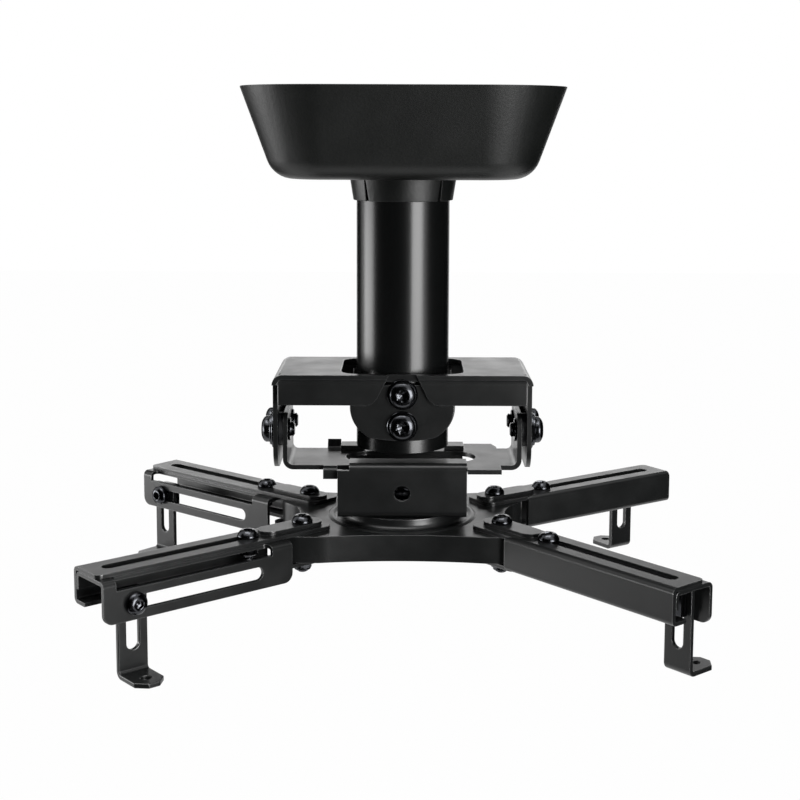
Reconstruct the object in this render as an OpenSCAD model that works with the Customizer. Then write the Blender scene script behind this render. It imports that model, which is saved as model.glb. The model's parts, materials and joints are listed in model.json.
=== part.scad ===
// Ceiling mount for a projector. A canopy hides the ceiling plate, a short pole
// carries a folded roll and tilt head, and a bracket under it carries a spider
// with four telescoping arms that end in adjustable feet.
// Millimetres. The origin is the centre of the ceiling plate's top face, +Z is
// up, +X is to the right and +Y points away from the viewer.

/* [Canopy] */
// Width of the canopy at the ceiling
canopy_w = 165.5; // [155:0.5:200]
// Height of the canopy's tub
canopy_h = 46.5; // [42:0.5:60]
// Slope of the canopy's sides in degrees
canopy_draft = 20; // [12:1:24]
// Corner radius of the canopy at the ceiling
canopy_corner_r = 44; // [38:1:55]
// Radius between the canopy's sides and its floor
canopy_floor_r = 14; // [8:1:18]
// Wall of the canopy and its collar
canopy_t = 2; // [1.5:0.1:2.5]
// Height of the split collar below the canopy
collar_h = 12.5; // [8:0.5:18]
// Play between the collar's tip and the pole
collar_gap = 0.3; // [0.2:0.05:0.5]

/* [Pole] */
// Outer diameter of the pole
pole_d = 50; // [44:1:54]
// Wall of the pole
pole_wall = 2; // [1.5:0.1:3]
// Length of the pole under the ceiling plate
pole_l = 188.5; // [170:0.5:400]
// Side of the square ceiling plate
plate_w = 128; // [115:1:132]
// Thickness of the ceiling plate
plate_t = 4; // [3:0.5:5]
// Side of the square of anchor holes
anchor_pitch = 100; // [80:1:104]
// Diameter of the anchor holes
anchor_d = 8; // [6:0.5:9]
// Height of the socket that holds the pole
socket_h = 30; // [24:1:36]
// Radial play of the pole in its socket
socket_fit = 0.05; // [0.02:0.01:0.2]
// Wall of the socket
socket_t = 4; // [3:0.5:5]

/* [Roll and tilt head] */
// Sheet thickness of the head
sheet = 2.5; // [2:0.1:2.8]
// Width of the yoke over its ears
yoke_w = 137.4; // [130:1:150]
// Depth of the yoke's front and rear flanges
flange_h = 16; // [14:0.5:18]
// Reach of the yoke's ears below its top
ear_h = 53; // [50:1:56]
// Height of the roll bolt above the pole's end
roll_above_end = 32.5; // [30:0.5:38]
// Distance between the two roll bolts
roll_pitch = 17; // [15:0.5:20]
// Width of the roll plates
roll_plate_w = 55.5; // [50:0.5:60]
// Largest roll to either side in degrees
roll_limit = 6; // [3:1:6]
// Drop from the roll bolt to the tilt bolts
tilt_drop = 22; // [20:0.5:24]
// Distance between the two tilt bolts of an ear
tilt_pitch = 24; // [22:1:26]
// Largest tilt with the front up in degrees
tilt_front_up = 15; // [5:1:15]
// Largest tilt with the rear up in degrees
tilt_rear_up = 8; // [4:1:8]
// Diameter of the head's bolts
head_bolt_d = 8; // [6:1:8]
// Extra width of every hole and slot round its bolt
play = 0.6; // [0.4:0.1:0.8]

/* [Cradle and bracket] */
// Play between the yoke's ears and the cradle's ears
ear_gap = 2.4; // [2:0.1:3]
// Depth of the cradle from front to rear
cradle_d = 42; // [40:1:46]
// Drop from the tilt bolts to the cradle's floor
floor_drop = 17.8; // [17:0.1:20]
// Height of the cradle's ears above the tilt bolts
cradle_ear_up = 9.5; // [8:0.5:11]
// Length of the opening in the cradle's floor
floor_hole_l = 71; // [50:1:76]
// Width of the opening in the cradle's floor
floor_hole_w = 27; // [22:1:28]
// Width of the slide-on bracket
bracket_w = 68.6; // [60:0.2:72]
// Depth of the slide-on bracket
bracket_d = 60; // [56:1:62]
// Height of the slide-on bracket below the cradle's floor
bracket_h = 26.7; // [24:0.1:34]
// Diameter of the hole in the bracket's front
lock_hole_d = 8.5; // [6:0.5:10]

/* [Spider] */
// Distance from the centre to an arm's pivot, sideways
lobe_x = 52.9; // [50:0.1:58]
// Distance from the centre to an arm's pivot, front to rear
lobe_y = 31; // [30:0.1:36]
// Radius of the lobe round an arm's pivot
lobe_r = 15.5; // [13:0.1:15.5]
// Height of the spider's skirt
spider_h = 14.1; // [12:0.1:16]
// Height of the raised disc in the spider's middle
disc_rise = 5.5; // [5:0.1:7]
// Radius of the raised disc
disc_r = 33; // [26:1:34]
// Diameter of the swivel bolt
swivel_d = 10; // [8:1:12]

/* [Arms] */
// Sheet thickness of the arm rails
rail_t = 2; // [1.6:0.1:2.2]
// Reach of a closed arm from its pivot
arm_l = 126.5; // [120:0.5:150]
// Width of the outer rail
rail_a_w = 23; // [23:0.5:25]
// Distance from the pivot line to the outer rail's wall
rail_a_side = 12.7; // [12.7:0.1:13.5]
// Height of the outer rail
rail_a_h = 18.5; // [18.5:0.1:21]
// Distance from the pivot line to the inner rail's wall
rail_b_side = 16.3; // [16.3:0.1:18]
// Height of the inner rail's wall
rail_b_h = 21; // [20:0.5:24]
// Distance from the pivot to the extension bolt of a closed arm
extension_bolt_x = 34.5; // [33:0.5:38]
// Diameter of the arm bolts
arm_bolt_d = 6; // [5:0.5:6]
// How far an arm extends
extension_travel = 80; // [40:1:80]
// Swing of the front right arm from +X in degrees
swing_rf = -50; // [-55:1:-40]
// Swing of the rear right arm from +X in degrees
swing_rb = 34.5; // [30:0.5:45]
// Swing of the rear left arm from +X in degrees
swing_lb = 140; // [135:1:150]
// Swing of the front left arm from +X in degrees
swing_lf = 220; // [215:1:230]

/* [Feet] */
// Width of a foot's strip
foot_w = 16; // [14:0.5:18]
// Thickness of a foot's strip
foot_t = 2.5; // [2:0.1:2.8]
// Distance from the arm's top to the foot's underside
foot_drop = 51.5; // [50:0.5:60]
// Length of the plate at the foot
foot_plate_l = 22; // [20:0.5:26]
// Diameter of the projector screw hole
foot_hole_d = 5.2; // [4.2:0.1:6.2]
// How far a foot slides along its arm
foot_travel = 70; // [40:1:70]
// How far a foot rises
foot_rise = 20; // [10:1:20]

/* [Hidden] */
$fn = 48;
BLACK = "#1c1d1e";
STEEL = "#2a2b2d";
PLASTIC = "#232425";
// Small overrun of a cut past the face it leaves
e = 0.1;
// Overlap that fuses neighbouring stretches of one sheet
lap = 0.01;
// Running gap between sliding sheets
slide_gap = 0.2;
// Gap between a leg and the wall that it slides on
leg_gap = 0.3;

// Levels, all below the ceiling
z_pole_end = -plate_t - pole_l;
z_roll = z_pole_end + roll_above_end;
z_yoke = z_roll + 10.5;
z_tilt = z_roll - tilt_drop;
z_floor = z_tilt - floor_drop;
z_bracket = z_floor - bracket_h;
z_spider = z_bracket - disc_rise;
z_arm = z_spider + rail_t;

// Shallow hollows in the spider's outline, in front and at the sides
front_hollow_r = 240;
front_hollow = 4;
side_hollow_r = 32;
side_hollow = 6;

// The head, built outwards from the pole
plate_gap = 1;
roll_plate_y = pole_d/2 + plate_gap;
yoke_d = 2*(roll_plate_y + 2*sheet);
flange_w = yoke_w - 7;
yoke_opening_w = pole_d + 15.4;
yoke_opening_d = pole_d + 2*plate_gap;
cradle_w = yoke_w - 2*sheet - 2*ear_gap;
bend_r = 3;

// Fasteners: washer and head sizes follow the bolt
head_r = 0.83*head_bolt_d;
head_h = 0.62*head_bolt_d;
washer_t = 1.2;
arm_head_r = 0.89*arm_bolt_d;
arm_head_h = 0.72*arm_bolt_d;

// Arm sections, measured from the arm's top face and pivot line
wall_start = 15;
lip_w = 10;
bead_w = 12.5;
bead_h = 1.8;
bead_end = extension_bolt_x - 7.5;
tongue_back = 13;
rail_b_start = lobe_r + 2.5;
rail_b_inner = rail_b_side - rail_t;
slot_w = arm_bolt_d + play + 0.2;
slot_b_z = -rail_t - slide_gap - rail_b_h + 8.3;
foot_x = arm_l - 16.5;
leg_y = rail_b_inner - leg_gap - foot_t/2;
// Strip of sheet left between a bolt and the end of its foot slot
leg_top = slot_b_z + slot_w/2 + 3.5;

// Sheet metal helpers

// Turn from one direction to the next, between -180 and 180 degrees
function turn(a, b) = atan2(a[0]*b[1] - a[1]*b[0], a[0]*b[0] + a[1]*b[1]);

// Section of a sheet of thickness t bent along the points p, with inner radius r
module bent_strip(p, t, r) {
    n = len(p) - 1;
    bend = r + t/2;
    dirs = [for (i = [0 : n - 1]) (p[i + 1] - p[i])/norm(p[i + 1] - p[i])];
    turns = [for (i = [1 : n - 1]) turn(dirs[i - 1], dirs[i])];
    trims = [for (a = turns) bend*tan(abs(a)/2)];
    for (i = [0 : n - 1]) {
        first = i > 0 ? trims[i - 1] : 0;
        last = i < n - 1 ? trims[i] : 0;
        translate(p[i] + first*dirs[i])
            rotate(atan2(dirs[i][1], dirs[i][0]))
            translate([-lap, -t/2])
            square([norm(p[i + 1] - p[i]) - first - last + 2*lap, t]);
    }
    for (i = [1 : n - 1])
        bend_sector(p[i] - trims[i - 1]*dirs[i - 1], dirs[i - 1], turns[i - 1], bend, t);
}

// One bend that starts at point q in direction d and turns by a degrees
module bend_sector(q, d, a, bend, t) {
    side = a > 0 ? 1 : -1;
    centre = q + side*bend*[-d[1], d[0]];
    reach = 4*(bend + t);
    start = atan2(d[1], d[0]) - side*90;
    translate(centre)
        intersection() {
            difference() {
                circle(bend + t/2);
                circle(bend - t/2);
            }
            rotate(start)
                polygon([[0, 0], [reach, 0],
                    reach*[cos(a/2), sin(a/2)], reach*[cos(a), sin(a)]]);
        }
}

// A section in x and z, drawn out along y from y0 to y1
module along_y(y0, y1) {
    translate([0, y1, 0]) rotate([90, 0, 0]) linear_extrude(y1 - y0) children();
}

// A section in y and z, drawn out along x from x0 to x1
module along_x(x0, x1) {
    translate([x0, 0, 0]) rotate([90, 0, 90]) linear_extrude(x1 - x0) children();
}

// Rectangle from corner a to corner b with round corners
module round_rect(a, b, r) {
    translate([a[0] + r, a[1]]) square([b[0] - a[0] - 2*r, b[1] - a[1]]);
    translate([a[0], a[1] + r]) square([b[0] - a[0], b[1] - a[1] - 2*r]);
    for (x = [a[0] + r, b[0] - r])
        for (y = [a[1] + r, b[1] - r])
            translate([x, y]) circle(r);
}

// Slot with round ends from u0 to u1, on the line v
module slot_2d(u0, u1, v, w) {
    translate([u0, v - w/2]) square([u1 - u0, w]);
    for (u = [u0, u1])
        translate([u, v]) circle(w/2);
}

// Curved slot of width w at radius r, from angle a0 to a1
module arc_slot(r, a0, a1, w) {
    intersection() {
        difference() {
            circle(r + w/2);
            circle(r - w/2);
        }
        polygon([[0, 0], 3*r*[cos(a0), sin(a0)], 3*r*[cos(a1), sin(a1)]]);
    }
    for (a = [a0, a1])
        translate(r*[cos(a), sin(a)]) circle(w/2);
}

// Fasteners, all with the underside of the head at z = 0 and the shank down

module button_head(r, h) {
    difference() {
        rotate_extrude()
            polygon([[0, 0], [0.97*r, 0], [r, 0.12*h], [0.97*r, 0.4*h], [0.86*r, 0.68*h],
                [0.7*r, 0.88*h], [0.5*r, h], [0, h]]);
        translate([0, 0, 0.42*h]) cylinder(h = h, r = 0.46*r, $fn = 6);
    }
}

module bolt(d, length, r, h) {
    button_head(r, h);
    translate([0, 0, -length]) cylinder(h = length + e, d = d);
}

module hex_nut(d, af, h) {
    difference() {
        cylinder(h = h, r = af/sqrt(3), $fn = 6);
        translate([0, 0, -e]) cylinder(h = h + 2*e, d = d);
    }
}

module ring(r_out, r_in, h) {
    difference() {
        cylinder(h = h, r = r_out);
        translate([0, 0, -e]) cylinder(h = h + 2*e, r = r_in);
    }
}

// Ceiling side

module ceiling_plate() {
    color(STEEL)
        translate([0, 0, -plate_t])
        difference() {
            linear_extrude(plate_t) round_rect([-plate_w/2, -plate_w/2], [plate_w/2, plate_w/2], 12);
            for (x = [-1, 1])
                for (y = [-1, 1])
                    translate([x*anchor_pitch/2, y*anchor_pitch/2, -e])
                        cylinder(h = plate_t + 2*e, d = anchor_d);
            translate([0, 0, -e]) cylinder(h = plate_t + 2*e, r = pole_d/2 - pole_wall);
        }
}

module pole_socket() {
    color(STEEL)
        translate([0, 0, -plate_t - socket_h])
        difference() {
            union() {
                ring(pole_d/2 + socket_t, pole_d/2 + socket_fit, socket_h);
                // Weld bead against the ceiling plate
                translate([0, 0, socket_h - 3])
                    rotate_extrude()
                    translate([pole_d/2 + socket_t - e, 0])
                    polygon([[0, 0], [3, 3], [0, 3]]);
            }
            for (a = [30 : 120 : 270])
                rotate(a)
                    translate([pole_d/2 - 1, 0, socket_h/2])
                    rotate([0, 90, 0])
                    cylinder(h = socket_t + 2, d = head_bolt_d + e);
        }
}

module socket_screws() {
    color(STEEL)
        for (a = [30 : 120 : 270])
            rotate(a)
                translate([pole_d/2, 0, -plate_t - socket_h/2])
                rotate([0, 90, 0])
                difference() {
                    cylinder(h = socket_t + 3, d = head_bolt_d);
                    translate([0, 0, socket_t]) cylinder(h = 4, d = head_bolt_d/2, $fn = 6);
                }
}

module pole() {
    color(BLACK)
        difference() {
            translate([0, 0, z_pole_end]) ring(pole_d/2, pole_d/2 - pole_wall, pole_l);
            for (z = [z_roll, z_roll - roll_pitch])
                translate([0, pole_d, z])
                    rotate([90, 0, 0])
                    cylinder(h = 2*pole_d, d = head_bolt_d + play);
        }
}

// Canopy

// Half section of the tub, inset by the wall t, with u measured from a corner's centre
function tub_section(t, reach) =
    let (
        r = canopy_floor_r - t,
        slant = 90 - canopy_draft,
        // The side and the floor are both a distance t inside the outer faces
        side = canopy_corner_r - t/cos(canopy_draft),
        floor_z = canopy_h - t,
        cz = floor_z - r,
        cu = side - cz*tan(canopy_draft) - r/cos(canopy_draft)
    )
    concat([[-reach, 1], [-reach, -floor_z]],
        [for (k = [0 : 8])
            let (a = -90 + k*slant/8)
            [cu + r*cos(a), -cz + r*sin(a)]],
        [[side, 0], [side, 1]]);

module tub(t) {
    c = canopy_w/2 - canopy_corner_r;
    for (x = [-c, c])
        for (y = [-c, c])
            translate([x, y, 0]) rotate_extrude() polygon(tub_section(t, 0));
    for (a = [0, 90])
        rotate(a)
            along_y(-c, c)
            for (s = [0, 1])
                mirror([s, 0]) translate([c, 0]) polygon(tub_section(t, c));
}

module canopy() {
    tip = pole_d/2 + collar_gap;
    root = tip + 1;
    top = -canopy_h + canopy_t;
    low = -canopy_h - collar_h;
    color(PLASTIC)
        difference() {
            union() {
                tub(0);
                rotate_extrude()
                    polygon([[tip, top - 0.5], [tip, low], [tip + canopy_t - 0.6, low],
                        [root + canopy_t + 0.4, -canopy_h + e], [root + canopy_t + 0.4, top - 0.5]]);
            }
            tub(canopy_t);
            translate([-canopy_w, -canopy_w, 0]) cube([2*canopy_w, 2*canopy_w, 5]);
            translate([0, 0, low - e]) cylinder(h = canopy_h + collar_h, r = tip);
            // Four wedge slits part the collar into fingers
            for (a = [45 : 90 : 315])
                rotate(a)
                    along_x(0, 2*pole_d)
                    polygon([[-0.5, -canopy_h - 1.5], [0.5, -canopy_h - 1.5], [1.1, low - 1], [-1.1, low - 1]]);
        }
}

// Roll and tilt head

module roll_bolts() {
    stack = yoke_d/2 - sheet + washer_t;
    color(STEEL)
        for (z = [z_roll, z_roll - roll_pitch])
            translate([0, -stack, z])
                rotate([90, 0, 0])
                bolt(head_bolt_d, 2*stack + 8, head_r, head_h);
}

module roll_washers() {
    color(STEEL)
        for (z = [z_roll, z_roll - roll_pitch])
            for (s = [-1, 1])
                translate([0, s*(yoke_d/2 - sheet + washer_t/2) + washer_t/2, z])
                    rotate([90, 0, 0])
                    ring(head_r + 0.85, head_bolt_d/2 + 0.05, washer_t);
}

module roll_nuts() {
    color(STEEL)
        for (z = [z_roll, z_roll - roll_pitch])
            translate([0, yoke_d/2 - sheet + washer_t + 6.5, z])
                rotate([90, 0, 0])
                hex_nut(head_bolt_d + e, 13, 6.5);
}

// Gap in a flange round the upper roll bolt, wider at its foot
module flange_notch() {
    low = -flange_h;
    polygon([[-7.3, e], [7.3, e], [13, low + 4], [14.5, low + 2], [17.5, low - e],
        [-17.5, low - e], [-14.5, low + 2], [-13, low + 4]]);
}

module yoke() {
    half_w = yoke_w/2 - sheet/2;
    half_d = yoke_d/2 - sheet/2;
    ear_y = tilt_pitch/2 + 12;
    tilt_y = -tilt_pitch/2;
    color(BLACK)
        translate([0, 0, z_yoke])
        difference() {
            union() {
                intersection() {
                    along_y(-yoke_d/2, yoke_d/2)
                        bent_strip([[-half_w, -ear_h], [-half_w, -sheet/2],
                            [half_w, -sheet/2], [half_w, -ear_h]], sheet, bend_r);
                    along_x(-yoke_w, yoke_w) ear_outline(ear_y);
                }
                along_x(-flange_w/2, flange_w/2)
                    bent_strip([[-half_d, -flange_h], [-half_d, -sheet/2],
                        [half_d, -sheet/2], [half_d, -flange_h]], sheet, bend_r);
            }
            linear_extrude(3*sheet, center = true)
                round_rect([-yoke_opening_w/2, -yoke_opening_d/2],
                    [yoke_opening_w/2, yoke_opening_d/2], 9);
            for (s = [0, 1])
                mirror([0, s, 0])
                    along_y(-yoke_d/2 - e, -yoke_d/2 + sheet + 0.5) flange_notch();
            // Pivot hole and lock slot of the tilt, in both ears
            along_x(-yoke_w, yoke_w)
                translate([tilt_y, z_tilt - z_yoke]) {
                    circle(d = head_bolt_d + play);
                    arc_slot(tilt_pitch, -tilt_front_up - 1, tilt_rear_up + 1, head_bolt_d + play);
                }
        }
}

// Outline of the yoke's ears and top, seen from the side
module ear_outline(ear_y) {
    round_rect([-ear_y, -ear_h], [ear_y, -sheet - bend_r - 2], 13);
    translate([-ear_y, -ear_h/2]) square([2*ear_y, ear_h/2 + 1]);
    translate([-yoke_d/2, -sheet - bend_r]) square([yoke_d, sheet + bend_r + 1]);
}

module roll_plates() {
    low = z_roll - roll_pitch - 8.2;
    // The plates end where the yoke's inner bend begins
    top = z_yoke - sheet - bend_r;
    color(BLACK)
        for (s = [0, 1])
            mirror([0, s, 0])
                along_y(-roll_plate_y - sheet, -roll_plate_y)
                difference() {
                    intersection() {
                        round_rect([-roll_plate_w/2, low], [roll_plate_w/2, top + 20], 18.5);
                        translate([-roll_plate_w, low - 1]) square([2*roll_plate_w, top - low + 1]);
                        // The lower edge is slightly crowned
                        translate([0, low + 90]) circle(90, $fn = 120);
                    }
                    translate([0, z_roll]) {
                        circle(d = head_bolt_d + play);
                        arc_slot(roll_pitch, -91 - roll_limit, -89 + roll_limit, head_bolt_d + play);
                    }
                }
}

module cradle() {
    half_w = cradle_w/2 - sheet/2;
    ear_top = z_tilt + cradle_ear_up;
    half_d = cradle_d/2;
    stop = bracket_w/2 + 0.3;
    color(BLACK)
        difference() {
            union() {
                intersection() {
                    along_y(-half_d, half_d)
                        bent_strip([[-half_w, ear_top], [-half_w, z_floor - sheet/2],
                            [half_w, z_floor - sheet/2], [half_w, ear_top]], sheet, bend_r);
                    along_x(-cradle_w, cradle_w)
                        union() {
                            translate([-half_d, z_floor - 2*sheet])
                                square([cradle_d, z_tilt - z_floor + 2*sheet]);
                            round_rect([-half_d, z_floor], [half_d, ear_top], 7);
                        }
                }
                // Stops on the right, where the bracket slides home
                translate([0, 0, z_floor - sheet])
                    linear_extrude(sheet) {
                        translate([stop, -half_d - 10]) square([18, 11]);
                        polygon([[stop, half_d - 1], [stop, half_d + 12], [stop + 16, half_d + 12],
                            [stop + 18.5, half_d + 4], [stop + 18.5, half_d - 1]]);
                    }
                // Spring tab on the left rear, raised behind the bracket
                along_x(-stop - 7.5, -stop)
                    bent_strip([[half_d - 2, z_floor - sheet/2], [half_d + 3, z_floor - sheet/2],
                        [half_d + 7, z_floor + 3]], sheet, 1);
                // Tab on the left front, bent down before the bracket
                along_x(-stop - 7.5, -stop)
                    bent_strip([[-half_d + 2, z_floor - sheet/2], [-half_d - 3.5, z_floor - sheet/2],
                        [-half_d - 3.5, z_floor - sheet - 4]], sheet, 1);
            }
            translate([4.7, 0, z_floor - sheet - e])
                linear_extrude(sheet + 2*e)
                slot_2d(-floor_hole_l/2 + floor_hole_w/2, floor_hole_l/2 - floor_hole_w/2, 0, floor_hole_w);
            for (y = [-tilt_pitch/2, tilt_pitch/2])
                translate([-cradle_w, y, z_tilt])
                    rotate([0, 90, 0])
                    cylinder(h = 2*cradle_w, d = head_bolt_d + e);
        }
}

// Each tilt fastener stands on the right ear and is mirrored to the left one
module at_tilt_bolts(x) {
    for (s = [0, 1])
        mirror([s, 0, 0])
            for (y = [-tilt_pitch/2, tilt_pitch/2])
                translate([x, y, z_tilt]) rotate([0, 90, 0]) children();
}

module tilt_bolts() {
    color(STEEL)
        at_tilt_bolts(yoke_w/2 + 2*washer_t)
        bolt(head_bolt_d, yoke_w/2 + 2*washer_t - cradle_w/2 + sheet + 7, head_r, head_h);
}

module tilt_washers() {
    color(STEEL)
        at_tilt_bolts(yoke_w/2) {
            ring(10, head_bolt_d/2 + 0.05, washer_t);
            translate([0, 0, washer_t - 0.01]) ring(8.5, head_bolt_d/2 + 0.05, washer_t + 0.01);
        }
}

module tilt_spacers() {
    color(STEEL)
        at_tilt_bolts(cradle_w/2)
        ring(9, head_bolt_d/2 + 0.05, ear_gap);
}

module tilt_nuts() {
    color(STEEL)
        at_tilt_bolts(cradle_w/2 - sheet - 6)
        hex_nut(head_bolt_d + e, 13, 6);
}

// Slide-on bracket: it hooks over the cradle's floor in front and at two rear corners

module bracket() {
    half_d = bracket_d/2 - sheet/2;
    low = z_bracket + sheet/2;
    lip = z_floor + sheet/2;
    lip_in = half_d - 13;
    color(BLACK)
        difference() {
            along_x(-bracket_w/2, bracket_w/2)
                bent_strip([[-lip_in, lip], [-half_d, lip], [-half_d, low],
                    [half_d, low], [half_d, lip], [lip_in, lip]], sheet, 1.2);
            // Bend relief at the front's upper left corner
            translate([-bracket_w/2 - e, -bracket_d/2 - e, z_floor - 1])
                cube([6.3, bracket_d/2, 2*sheet]);
            // Only two hooks stay at the rear, clear of the pole
            translate([-pole_d/2 + 4, 0, z_floor - sheet - 1.5])
                cube([pole_d - 8 + 2.5, bracket_d, 4*sheet]);
            translate([0, 0, z_bracket + bracket_h/2])
                rotate([90, 0, 0])
                cylinder(h = bracket_d, d = lock_hole_d);
            translate([0, 0, z_bracket - e]) cylinder(h = sheet + 2*e, d = swivel_d + play);
        }
}

module swivel_bolt() {
    color(STEEL)
        translate([0, 0, z_bracket + sheet])
        bolt(swivel_d, 2*sheet + 12, 0.95*swivel_d, 0.6*swivel_d);
}

module swivel_nut() {
    color(STEEL)
        translate([0, 0, z_bracket - sheet]) {
            translate([0, 0, -1.5]) ring(swivel_d, swivel_d/2 + 0.05, 1.5);
            translate([0, 0, -9.5]) hex_nut(swivel_d + e, 1.7*swivel_d, 8.01);
        }
}

// Spider

// Outline of the spider, inset by t: four lobes on a body with hollow flanks
module spider_2d(t) {
    r = lobe_r - t;
    neck = 0.62*lobe_r;
    for (x = [-lobe_x, lobe_x])
        for (y = [-lobe_y, lobe_y])
            translate([x, y]) circle(r);
    difference() {
        square([2*lobe_x, 2*(lobe_y + r)], center = true);
        // Long shallow hollows in front and at the rear
        for (s = [-1, 1])
            translate([0, s*(lobe_y + lobe_r + front_hollow_r - front_hollow)])
                circle(front_hollow_r + t, $fn = 240);
    }
    difference() {
        square([2*(lobe_x + neck - t), 2*lobe_y], center = true);
        // Deeper hollows at the sides
        for (s = [-1, 1])
            translate([s*(lobe_x + neck + side_hollow_r - side_hollow), 0])
                circle(side_hollow_r + t, $fn = 120);
    }
}

module spider() {
    color(BLACK)
        translate([0, 0, z_spider])
        difference() {
            union() {
                translate([0, 0, -spider_h]) linear_extrude(spider_h) spider_2d(0);
                cylinder(h = disc_rise, r = disc_r);
                // Rolled edge round the raised disc
                rotate_extrude()
                    translate([disc_r - e, 0])
                    polygon([[0, 0], [2.5, 0], [0.8, 1.2], [0, 3]]);
            }
            translate([0, 0, -spider_h - e]) linear_extrude(spider_h + e - sheet) spider_2d(sheet);
            translate([0, 0, -sheet - e]) cylinder(h = disc_rise + e, r = disc_r - sheet);
            cylinder(h = 4*disc_rise, d = swivel_d + play, center = true);
            for (x = [-lobe_x, lobe_x])
                for (y = [-lobe_y, lobe_y])
                    translate([x, y, -spider_h]) cylinder(h = 2*spider_h, d = arm_bolt_d + play);
        }
}

module at_lobes() {
    for (x = [-lobe_x, lobe_x])
        for (y = [-lobe_y, lobe_y])
            translate([x, y, 0]) children();
}

module lobe_sleeves() {
    color(STEEL)
        at_lobes()
        translate([0, 0, z_spider - spider_h])
        ring(arm_bolt_d, arm_bolt_d/2 + 0.1, spider_h - sheet);
}

module lobe_bolts() {
    color(STEEL)
        at_lobes()
        translate([0, 0, z_arm + bead_h + slide_gap])
        bolt(arm_bolt_d, rail_a_h + bead_h + slide_gap + 6.5, arm_head_r, arm_head_h);
}

module lobe_nuts() {
    color(STEEL)
        at_lobes()
        translate([0, 0, z_arm - rail_a_h - slide_gap - 5])
        hex_nut(arm_bolt_d + e, 10, 5);
}

// Arms, drawn with the pivot at the origin, the arm along +X and its top at z = 0

// Puts an arm part on lobe (sx, sy), turned to its rest direction
module on_lobe(sx, sy, swing) {
    translate([sx*lobe_x, sy*lobe_y, z_arm]) rotate(swing) children();
}

// Outer rail: a C section whose top and lip grip the lobe, slotted for the extension bolt
module rail_a() {
    wall_y = -rail_a_side + rail_t/2;
    free_y = rail_a_w - rail_a_side;
    tongue_y = -rail_a_side + 1.2;
    travel_end = extension_bolt_x + extension_travel;
    color(BLACK)
        difference() {
            union() {
                along_x(wall_start, arm_l)
                    bent_strip([[free_y, -rail_t/2], [wall_y, -rail_t/2], [wall_y, -rail_a_h + rail_t/2],
                        [-rail_a_side + lip_w, -rail_a_h + rail_t/2]], rail_t, 1);
                for (z = [-rail_t, -rail_a_h])
                    translate([0, 0, z])
                        linear_extrude(rail_t)
                        round_rect([-tongue_back, tongue_y], [wall_start + 6, free_y], 5);
                // Pressed bead that stiffens the root
                linear_extrude(bead_h) slot_2d(-tongue_back + 8, bead_end - 6, 0, bead_w);
            }
            translate([0, 0, -rail_t - e])
                linear_extrude(bead_h + e) slot_2d(-tongue_back + 8, bead_end - 6, 0, bead_w - 3.5);
            translate([0, 0, -rail_t - e])
                linear_extrude(2*rail_t + bead_h)
                slot_2d(extension_bolt_x - 0.3, travel_end + 0.3, 0, slot_w);
            cylinder(h = 3*rail_a_h, d = arm_bolt_d + play, center = true);
            // Round corner of the top at the tip
            translate([arm_l - 3, free_y - 3, -rail_t - e])
                difference() {
                    cube([4, 4, rail_t + 2*e]);
                    cylinder(h = rail_t + 2*e, r = 3);
                }
        }
}

// Inner rail: an uneven U under the outer rail, with a window along its bend and a foot slot
module rail_b() {
    top = -rail_t - slide_gap - rail_t/2;
    near_y = -rail_a_side + rail_t + leg_gap + rail_t/2;
    far_y = rail_b_side - rail_t/2;
    low = top + rail_t/2 - rail_b_h;
    color(BLACK)
        difference() {
            intersection() {
                along_x(rail_b_start, arm_l)
                    bent_strip([[near_y, top - 8], [near_y, top], [far_y, top], [far_y, low]], rail_t, 1);
                along_y(-rail_b_side, rail_b_side) {
                    round_rect([rail_b_start, low], [arm_l, low + 14], 5);
                    translate([rail_b_start, low + 7]) square([arm_l - rail_b_start, rail_b_h]);
                }
            }
            // Window along the bend, where a raised foot's leg passes
            translate([0, 0, top - rail_t/2 - 3.2])
                linear_extrude(2*rail_b_h)
                round_rect([foot_x - foot_travel - foot_w/2 - 1.5, rail_b_inner - foot_t - 1.2],
                    [foot_x + foot_w/2 + 1.5, rail_b_side + 4], 2);
            along_y(rail_b_inner - e, rail_b_side + e)
                slot_2d(foot_x - foot_travel - 0.3, foot_x + 0.3, slot_b_z, slot_w);
            translate([extension_bolt_x, 0, -rail_b_h]) cylinder(h = 2*rail_b_h, d = arm_bolt_d + e);
        }
}

module extension_bolt() {
    under = -2*rail_t - slide_gap;
    color(STEEL) {
        translate([extension_bolt_x, 0, slide_gap]) bolt(arm_bolt_d, 12, arm_head_r, arm_head_h);
        translate([extension_bolt_x, 0, under - 5]) ring(5, arm_bolt_d/2 - e, 5);
    }
}

// Foot carrier: the bolt through the inner rail's slot and its square nut plate
module carrier() {
    nut_t = 4.5;
    nut_y = leg_y - foot_t/2 - slide_gap;
    shank = rail_b_side + slide_gap + 1.5 - nut_y + nut_t;
    color(STEEL) {
        translate([foot_x, rail_b_side + slide_gap, slot_b_z])
            rotate([-90, 0, 0]) {
                button_head(arm_head_r, arm_head_h);
                translate([0, 0, -shank]) cylinder(h = shank + e, d = arm_bolt_d);
            }
        translate([foot_x - 6, nut_y - nut_t, slot_b_z - 7]) cube([12, nut_t, 14]);
    }
}

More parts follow.
